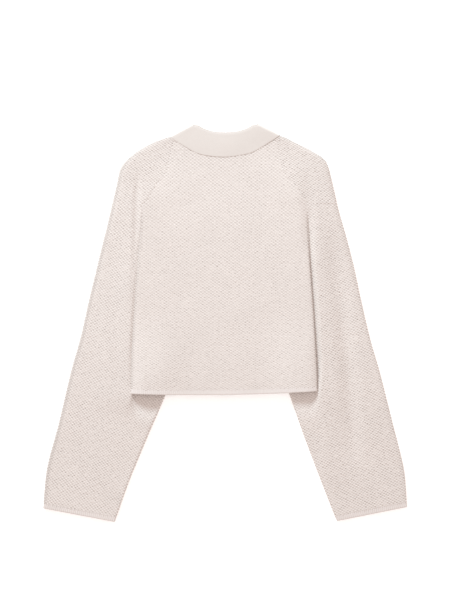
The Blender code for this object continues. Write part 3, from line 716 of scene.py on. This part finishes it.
def cuff_shell(name, tube, finish):
    """The ribbed strip round the end of a sleeve, open at its end."""
    ends, tips = tube.corners, tube.tips
    depth = np.concatenate([[-0.012], np.linspace(0, CUFF_ROUND, 7), [0.95, 0.99]])[:, None]
    lo, hi = mix(ends[0][0], tips[0][0], depth), mix(ends[1][0], tips[1][0], depth)
    radius = 0 * depth + TUBE / 2
    count = 4 * round((hi - lo)[0, 0] / RIB)
    flat = mix(lo + radius, hi - radius, np.linspace(0, 1, count + 1)[None, :])
    under = np.linspace(0, 1, count // 2)[None, :]

    def v_of(u):
        return mix(tube.line(ends, u), tube.line(tips, u), depth)

    x, y, z, inner_z, out, up, along = tube.ring(lo, hi, radius, radius, flat, under, v_of)
    kept = np.sqrt(1 - np.clip((depth - CUFF_ROUND) / (1 - CUFF_ROUND), 0, 1) ** 2)
    relief_and_painted_shade = ribs(along, CUFF_RIB) * ramp(up, *TURN_FADE) * kept
    shrink = (1 - kept) * INSIDE / 2
    outer_x, outer_y = tube.moved(x, y, out, relief_and_painted_shade - shrink)
    inner_x, inner_y = tube.moved(x, y, out, shrink - INSIDE)
    outside = np.stack([outer_x, outer_y, np.maximum(z + (relief_and_painted_shade - shrink) * up, 0)], axis=-1)
    inside = np.stack([inner_x, inner_y, inner_z + shrink * up], axis=-1)
    points = np.concatenate([outside, inside[::-1]])
    relief_and_painted_shade = np.concatenate([relief_and_painted_shade, 0 * relief_and_painted_shade])
    index = np.arange(points[..., 0].size).reshape(points.shape[:2])
    area = 2 * float((hi - lo).mean()) * BAND
    return mesh_piece(name, points, index, relief_and_painted_shade, finish, torus=True), area


def strip(name, start, end, normal, relief_and_painted_shade, finish, both=False):
    """A strip of ribbing between two lines of points on its outer face, its free edge rounded. relief has
    a row for each point of the lines and a column for each place across the outer face."""
    width = np.linalg.norm(end - start, axis=1, keepdims=True)
    down = (end - start) / width
    half = WALL / 2
    shares = np.linspace(half / width.mean() if both else 0, 1 - half / width.mean(), relief_and_painted_shade.shape[1])
    if not both:
        shares[1:-1] = np.linspace(STRIP_START, shares[-2], len(shares) - 2)

    def round_edge(line, way, rise, angles):
        centre = line - way * half - normal * half
        for angle in np.radians(angles):
            swell = half + rise * max(math.cos(angle), 0)
            yield centre + way * half * math.sin(angle) + normal * swell * math.cos(angle)

    rings = [mix(start, end, t) + normal * relief_and_painted_shade[:, k : k + 1] for k, t in enumerate(shares)]
    rings += round_edge(end, down, relief_and_painted_shade[:, -1:], HALF_TURN)
    rings += [end - normal * WALL - down * half, start - normal * WALL + down * (half if both else 0)]
    if both:
        rings += round_edge(start, -down, relief_and_painted_shade[:, :1], HALF_TURN[::-1])
    points = np.stack(rings, axis=1)
    shade = np.zeros(points.shape[:2])
    shade[:, : relief_and_painted_shade.shape[1]] = relief_and_painted_shade
    index = np.arange(shade.size).reshape(shade.shape)
    return mesh_piece(name, points, index, shade, finish, ring=True)


def hem_strip(name, low, high, top, curls, face, finish):
    """A hem between two x. top is the height of the outer face, which looks up where face is 1. curls says
    at which of its ends it is rolled."""
    radius = OUTER_FOLD
    left, right = (ROLL[:-1] if curl else np.empty(0) for curl in curls)
    inner = np.arange(low + curls[0] * radius, high - curls[1] * radius, RIB / 4)
    x = [low + radius * (1 - np.sin(left)), inner, (high - radius * (1 - np.sin(right)))[::-1]]
    angle = [-left, 0 * inner, right[::-1]]
    along = [low + radius * (1 - left), inner, (high - radius * (1 - right))[::-1]]
    x, angle, along = (np.concatenate(parts) for parts in (x, angle, along))
    drop = radius * (1 - np.cos(angle)) * face
    normal = np.stack([np.sin(angle), 0 * x, face * np.cos(angle)], axis=-1)
    lines = [np.stack([x, y, top(x, y) - drop], axis=-1) for y in (-hem_v(x), -hem_v(x, HEM_ROW + 1))]
    relief_and_painted_shade = ribs(along, HEM_RIB) - (0 if face > 0 else HEM_RIB)
    relief_and_painted_shade = np.repeat(relief_and_painted_shade[:, None], HEM_COLUMNS, axis=1)
    return strip(name, *lines, normal, relief_and_painted_shade, finish)


# --- the fronts ---
FRONT_COLUMNS = 31
FRONT_SEAM_EDGE = 0.6


def front_shell(name, side, finish):
    """A front, whose outer face looks down."""
    at = np.linspace(0, HEM_ROW, 8 * HEM_ROW + 1)
    table = spline(BODY, at)
    outer = table[:, 0:2] if side < 0 else table[:, 2:4]
    inner = np.stack([np.full(len(at), side * FRONT_BAND), table[:, 5]], axis=-1)
    radius = mix(FRONT_SEAM_EDGE, OUTER_FOLD, np.clip(table[:, 7:8], 0, 1))
    width = np.linalg.norm(inner - outer, axis=1)[:, None]
    near, roll = radius * (1 - np.sin(ROLL))[None, :] / width, ROLL[None, :]
    share = np.hstack([near, mix(radius / width, 1, np.linspace(0, 1, FRONT_COLUMNS)[None, :])])
    angle = np.hstack([0 * radius + roll, np.zeros((len(at), FRONT_COLUMNS))])
    bow = table[:, 6:7] * DIAGONAL * (1 - (2 * share - 1) ** 2)
    x = mix(outer[:, :1], inner[:, :1], share) + side * bow
    y = mix(outer[:, 1:], inner[:, 1:], share) - bow
    z = front_lift(x, y) + radius * (1 - np.cos(angle))
    points = np.stack([x, y, z], axis=-1)
    if side < 0:
        points = points[:, ::-1]
    index = np.arange(x.size).reshape(x.shape)[::-1]
    area = float(np.sum((width[1:, 0] + width[:-1, 0]) / 2 * -np.diff((outer[:, 1] + inner[:, 1]) / 2)))
    return mesh_piece(name, points, index, 0 * x, finish), area


def front_band(name, side, finish):
    """The ribbed band down a front edge, its outer face down."""
    y = np.linspace(BODY[0, 5], BODY[-1, 5], BAND_ROWS)
    edges = [np.full_like(y, side * distance) for distance in (FRONT_BAND, SEAM)]
    lines = [np.stack([x, y, front_lift(x, y)], axis=-1) for x in edges]
    normal = np.tile([0.0, 0.0, -1.0], (len(y), 1))
    across = np.linspace(0, FRONT_BAND, BAND_COLUMNS)[None, :]
    relief_and_painted_shade = 0 * y[:, None] + ribs(across, HEM_RIB) - HEM_RIB
    return strip(name, *lines, normal, relief_and_painted_shade, finish, both=True)


# --- the collar ---
def neckline(side, along, front):
    """The place on the neckline where the collar's stand starts."""
    row = BODY[0]
    corner = row[0:2] if side < 0 else row[2:4]
    if front:
        t = min(along / ON_PANEL, 1)
        ends = corner, np.array([side * FRONT_BAND, row[5]])
        bow, gap = np.array([side, -1]) * DIAGONAL * row[6], np.array([-side, 1]) * DIAGONAL
    else:
        t = 0.5 + side * along / 2
        ends = row[0:2], row[2:4]
        bow, gap = np.array([0, -row[4]]), np.array([0, 1])
    place = mix(*ends, t) + bow * (1 - (2 * t - 1) ** 2) + gap * 2 * SEAM
    if front and along > ON_PANEL:
        place[0] = side * mix(FRONT_BAND, 2 * SEAM, (along - ON_PANEL) / (1 - ON_PANEL))
    return place


LEAF_DROP, LEAF_EDGE = 1.5, 0.3  # how far the leaf's edge comes down, and its share of the thickness
LEAF_THINS = (12, 8)  # how many places from the edge that starts, over how many it comes
RIM_ROLL = (0.1, 9, 4)  # how far the edge rolls up, and the same
THINNING = (0.97, 0.8, 0.5, 0.0)  # share of the thickness on the last places before a rim
NECK_TURN = (0.55, 0.83)  # the way in which the collar turns down at the neck's corners
COLLAR_RELIEF = 0.6
FOLD_SHADE = (0.1, -0.35, -0.8, -0.9, -0.8, -0.35, 0.1)  # painted shade round the collar's fold, given as relief attribute values
SECTIONS, TURN_SECTIONS = 33, 13
LAST_SECTIONS = (3.975, 3.99, 3.998, 4.0)
STAND_PLACES = np.linspace(0, 1, 6)
LEAF_PLACES = np.array([0, 0.1, 0.2, 0.3, 0.4, 0.5, 0.6, 0.7, 0.78, 0.85, 0.91, 0.95, 0.975, 0.99, 1.0])


def collar_section(row, base, top):
    """A line of points up the stand, round the fold and down the leaf, which is on top where top is 1."""
    fold, leaf = row[0:2], row[2:4]
    stand_z = WALL / 2 + COLLAR_STACK + 2 * FOLD * top
    leaf_z = stand_z + (2 * COLLAR_FOLD if top else -2 * COLLAR_FOLD)
    to_base = (base - fold) / np.linalg.norm(base - fold)
    to_leaf = (leaf - fold) / np.linalg.norm(leaf - fold)
    inset = COLLAR_FOLD + COLLAR_WALL / 2
    points = [(*mix(base, fold + to_base * inset, t), stand_z) for t in STAND_PLACES]
    steps = len(FOLD_SHADE) + 1
    for k in range(1, steps):
        a = math.pi * (k / steps - 0.5)
        share = (1 + math.sin(a)) / 2
        way = mix(to_base, to_leaf, share)
        x, y = fold + way / np.linalg.norm(way) * (inset - COLLAR_FOLD * math.cos(a))
        points.append((x, y, mix(stand_z, leaf_z, share)))
    drop = LEAF_DROP if top else -LEAF_DROP
    points += [(*mix(fold + to_leaf * inset, leaf, t), leaf_z - drop * t) for t in LEAF_PLACES]
    return np.array(points)


def collar_half(side):
    """Sections from the middle of the back round the neck's corner to the point at the front."""
    back, front = COLLAR_BACK.copy(), COLLAR_FRONT.copy()
    if side > 0:
        for rows in (back, front):
            share = np.minimum(-rows[:, :1] / 60, 1)
            rows[:, :4] = rows[:, :4] * (-1, 1, -1, 1) + RIGHT_NECK_SHIFT * share
    outwards = np.array([side * NECK_TURN[0], NECK_TURN[1]])
    corner = neckline(side, 1, False) + outwards * (FOLD + COLLAR_WALL / 2)
    top, bottom = collar_section(back[-1], corner, 1), collar_section(front[0], corner, 0)
    radius = (top[:, 2] - bottom[:, 2]) / 2
    centre = top[:, :2] - outwards * (radius + COLLAR_WALL / 2)[:, None]
    level = (top[:, 2] + bottom[:, 2]) / 2
    sections = []
    for at in np.linspace(0, len(back) - 1, SECTIONS)[:-1]:
        row = spline(back, at)[0]
        share = float(smooth(at - (len(back) - 2)))
        section = collar_section(row, mix(neckline(side, row[4], False), corner, share), 1)
        section[:, :2] += (centre - top[:, :2]) * share
        sections.append(section)
    for a in np.radians(np.linspace(90, -90, TURN_SECTIONS)):
        plan = centre + outwards * (radius * math.cos(a))[:, None]
        sections.append(np.column_stack([plan, level + radius * math.sin(a)]))
    for at in [*np.linspace(0, len(front) - 1, SECTIONS)[1:-1], *LAST_SECTIONS]:
        row = spline(front, at)[0]
        share = 1 - float(smooth(at))
        section = collar_section(row, mix(neckline(side, row[4], True), corner, share), 0)
        section[:, :2] += (centre - bottom[:, :2]) * share
        sections.append(section)
    return sections


def collar_shell(finish):
    """The collar: both faces of its sections, joined at the rim and at the two points."""
    left, right = collar_half(-1), collar_half(1)
    middle = np.array(left[::-1] + right[1:])
    count, places = middle.shape[:2]
    x, y = middle[..., 0], middle[..., 1]
    middle[..., 2] += swells(x, y, *COLLAR_SWELLS) * np.linspace(0, 1, places)[None, :]
    normal = np.cross(np.gradient(middle, axis=1), np.gradient(middle, axis=0))
    normal /= np.linalg.norm(normal, axis=2, keepdims=True)
    rim, ends = np.ones(places), np.ones(count)
    rim[-4:] = ends[-4:] = THINNING
    ends[:4] = THINNING[::-1]
    from_rim = np.arange(places) - places
    roll, roll_start, roll_reach = RIM_ROLL
    rolled = roll * smooth((from_rim + roll_start) / roll_reach) * (rim > 0)
    thin_start, thin_reach = LEAF_THINS
    leaf = smooth((from_rim + thin_start) / thin_reach)
    half = COLLAR_WALL / 2 * (rim * mix(1, LEAF_EDGE, leaf))[None, :] * ends[:, None]
    outer = middle + normal * (half + rolled[None, :] * ends[:, None])[..., None]
    inner = (middle - normal * half[..., None])[:, ::-1]
    points = np.concatenate([outer, inner], axis=1)
    relief_and_painted_shade = np.full(points.shape[:2], COLLAR_RELIEF)
    first = len(STAND_PLACES)
    # painted shade along the collar's fold
    relief_and_painted_shade[:, first : first + len(FOLD_SHADE)] = FOLD_SHADE
    index = np.arange(relief_and_painted_shade.size).reshape(relief_and_painted_shade.shape)
    index[[0, -1]] = np.minimum(index[[0, -1]], index[[0, -1], ::-1])  # the two faces meet at the points
    index[:, places] = index[:, places - 1]  # and along the rim
    sides = np.linalg.norm(np.cross(np.diff(middle, axis=0)[:, :-1], np.diff(middle, axis=1)[:-1]), axis=2)
    return mesh_piece("collar_knit", points, index, relief_and_painted_shade, finish, ring=True), float(sides.sum())


# --- materials ---
def knit_material(name, colour, hollow_shade, grain, pattern=None):
    """Matte yarn, with shade painted into the hollows and wherever else the relief attribute is low, with
    patches of tone, a fibre grain and, where pattern gives a stitch, a row and a height, stitches in the bump."""
    made = bpy.data.materials.new(name)
    made.use_nodes = True
    nodes, links = made.node_tree.nodes, made.node_tree.links
    shader = nodes["Principled BSDF"]
    shader.inputs["Roughness"].default_value = 0.92
    shader.inputs["Specular IOR Level"].default_value = 0.15
    shader.inputs["Sheen Weight"].default_value = 0.1
    shader.inputs["Sheen Roughness"].default_value = 0.45
    shader.inputs["Sheen Tint"].default_value = (1.0, 0.96, 0.92, 1)

    def node(kind, **settings):
        added = nodes.new(kind)
        for key, value in settings.items():
            setattr(added, key, value)
        return added

    def noise(scale, detail):
        added = node("ShaderNodeTexNoise")
        added.inputs["Scale"].default_value = scale
        added.inputs["Detail"].default_value = detail
        links.new(place.outputs["Object"], added.inputs["Vector"])
        return added.outputs["Fac"]

    def ranged(value, low, high, to_low, to_high):
        added = node("ShaderNodeMapRange")
        links.new(value, added.inputs["Value"])
        for key, number in (("From Min", low), ("From Max", high), ("To Min", to_low), ("To Max", to_high)):
            added.inputs[key].default_value = number
        return added.outputs["Result"]

    def maths(kind, a, b):
        added = node("ShaderNodeMath", operation=kind)
        for socket, value in zip(added.inputs, (a, b)):
            if isinstance(value, (int, float)):
                socket.default_value = value
            else:
                links.new(value, socket)
        return added.outputs[0]

    place = node("ShaderNodeTexCoord")
    relief_and_painted_shade = node("ShaderNodeAttribute", attribute_name="relief_and_painted_shade").outputs["Fac"]
    # painted shade: where the relief attribute is low, the colour goes towards its darker hollow copy
    depth = ranged(relief_and_painted_shade, -0.5, 0.6, 0.0, 1.0)
    patches = ranged(noise(14, 2), 0.3, 0.7, 0.985, 1.015)
    fibre = ranged(noise(1400, 3), 0.25, 0.75, 0.94, 1.05)
    tone = maths("MULTIPLY", patches, fibre)
    blend = node("ShaderNodeMix", data_type="RGBA")
    links.new(depth, blend.inputs["Factor"])
    blend.inputs["A"].default_value = (*[c * k for c, k in zip(colour, hollow_shade)], 1)
    blend.inputs["B"].default_value = (*colour, 1)
    tinted = node("ShaderNodeVectorMath", operation="SCALE")
    links.new(blend.outputs["Result"], tinted.inputs["Vector"])
    links.new(tone, tinted.inputs["Scale"])
    links.new(tinted.outputs["Vector"], shader.inputs["Base Color"])
    height = maths("MULTIPLY", noise(2600, 4), grain)
    if pattern:
        stitch, row, tall = pattern
        parts = node("ShaderNodeSeparateXYZ")
        links.new(place.outputs["Object"], parts.inputs[0])
        across = maths("COSINE", maths("MULTIPLY", parts.outputs["X"], math.pi / (stitch * MM)), 0)
        down = maths("COSINE", maths("MULTIPLY", parts.outputs["Y"], math.pi / (row * MM)), 0)
        height = maths("ADD", height, maths("MULTIPLY", maths("MULTIPLY", across, down), tall))
    bump = node("ShaderNodeBump")
    bump.inputs["Strength"].default_value = 1.0
    bump.inputs["Distance"].default_value = MM
    links.new(height, bump.inputs["Height"])
    links.new(bump.outputs["Normal"], shader.inputs["Normal"])
    return made


CREAM = (0.851, 0.792, 0.760)
# The second colour of each material is the painted shade in its hollows, as a share of the first.
MOSS = knit_material("moss_knit_yarn", CREAM, (0.66, 0.64, 0.63), 0.25)
MOSS_UNDER = knit_material("moss_knit_under", CREAM, (1, 1, 1), 0.25, (3.84, 2.8, 0.5))
RIBBING = knit_material("rib_knit_yarn", (0.795, 0.745, 0.725), (0.82, 0.80, 0.79), 0.25)
FINE = knit_material("fine_knit_yarn", (0.69, 0.643, 0.612), (0.66, 0.62, 0.60), 0.15, (1.7, 1.3, 0.10))

# --- pieces ---
def dress(piece, node):
    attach(piece, "root")
    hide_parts(node)


SIDES = ((-1, "left"), (1, "right"))
back, back_area = back_shell(MOSS)
dress(back, "back")
hem_back = hem_strip("hem_back_rib", BODY[HEM_ROW, 0], BODY[HEM_ROW, 2], back_top, (1, 1), 1, RIBBING)
dress(hem_back, "hem_back")
collar, collar_area = collar_shell(FINE)
dress(collar, "collar")
tubes = {"left": Tube(LEFT_SLEEVE, *SLEEVE_LIE["left"]), "right": Tube(RIGHT_SLEEVE, *SLEEVE_LIE["right"])}
sleeves, cuffs, fronts, hems, bands = {}, {}, {}, {}, {}
for side, word in SIDES:
    sleeves[word] = sleeve_shell(f"sleeve_{word}_knit", tubes[word], MOSS)
    cuffs[word] = cuff_shell(f"cuff_{word}_rib", tubes[word], RIBBING)
    fronts[word] = front_shell(f"front_{word}_knit", side, MOSS_UNDER)
    edges = (BODY[HEM_ROW, 0], -FRONT_BAND) if side < 0 else (FRONT_BAND, BODY[HEM_ROW, 2])
    curls = (1, 0) if side < 0 else (0, 1)
    hems[word] = hem_strip(f"hem_front_{word}_rib", *edges, front_lift, curls, -1, RIBBING)
    bands[word] = front_band(f"front_band_{word}_rib", side, RIBBING)
    dress(sleeves[word][0], f"sleeve_{word}")
    dress(cuffs[word][0], f"cuff_{word}")
    dress(fronts[word][0], f"front_{word}")
    dress(hems[word], f"hem_front_{word}")
    dress(bands[word], f"front_band_{word}")

# --- floor, light, camera ---
FLOOR = 6
floor_mesh = bpy.data.meshes.new("floor")
corners = [(FLOOR * x, FLOOR * y, 0) for x, y in ((-1, -1), (1, -1), (1, 1), (-1, 1))]
floor_mesh.from_pydata(corners, [], [(0, 1, 2, 3)])
floor = bpy.data.objects.new("floor", floor_mesh)
bpy.context.scene.collection.objects.link(floor)
floor.location.z = -0.5 * MM
pale = bpy.data.materials.new("floor_pale")
pale.use_nodes = True
surface = pale.node_tree.nodes["Principled BSDF"].inputs
surface["Base Color"].default_value = (0.93, 0.93, 0.93, 1)
surface["Roughness"].default_value = 0.9
surface["Emission Color"].default_value = (1, 1, 1, 1)
surface["Emission Strength"].default_value = 0.3
floor_mesh.materials.append(pale)

scene = bpy.context.scene
scene.view_settings.view_transform = "Standard"
world = bpy.data.worlds.new("studio")
world.use_nodes = True
world.node_tree.nodes["Background"].inputs["Color"].default_value = (1, 0.90, 0.858, 1)
world.node_tree.nodes["Background"].inputs["Strength"].default_value = 0.925
scene.world = world


# A soft square light. KEY_TURN goes from +Y towards -X.
KEY_TURN, KEY_RISE, KEY_DISTANCE = math.radians(19), math.radians(21.5), 5.0
light = bpy.data.lights.new("key", "AREA")
light.shape = "SQUARE"
light.size, light.energy, light.color = 1.16, 250, (0.825, 1.0, 1.07)
lamp = bpy.data.objects.new("key", light)
lamp.location = (
    -KEY_DISTANCE * math.cos(KEY_RISE) * math.sin(KEY_TURN),
    KEY_DISTANCE * math.cos(KEY_RISE) * math.cos(KEY_TURN),
    KEY_DISTANCE * math.sin(KEY_RISE),
)
lamp.rotation_euler = (math.pi / 2 - KEY_RISE, 0, math.pi + KEY_TURN)
scene.collection.objects.link(lamp)

lens = bpy.data.cameras.new("camera")
lens.lens, lens.sensor_width, lens.sensor_fit = 100, 36, "AUTO"
camera = bpy.data.objects.new("camera", lens)
camera.location = (0.0008, 0.0446, 3.1747)
scene.collection.objects.link(camera)
scene.camera = camera

# --- the pieces' areas, turned into square metres ---
def declare(piece, area):
    """piece is not used. area is in square millimetres, and is turned into square metres."""
    area = area * MM**2


declare(back, back_area)
declare(collar, collar_area)
for side, word in SIDES:
    declare(sleeves[word][0], sleeves[word][1])
    declare(fronts[word][0], fronts[word][1])
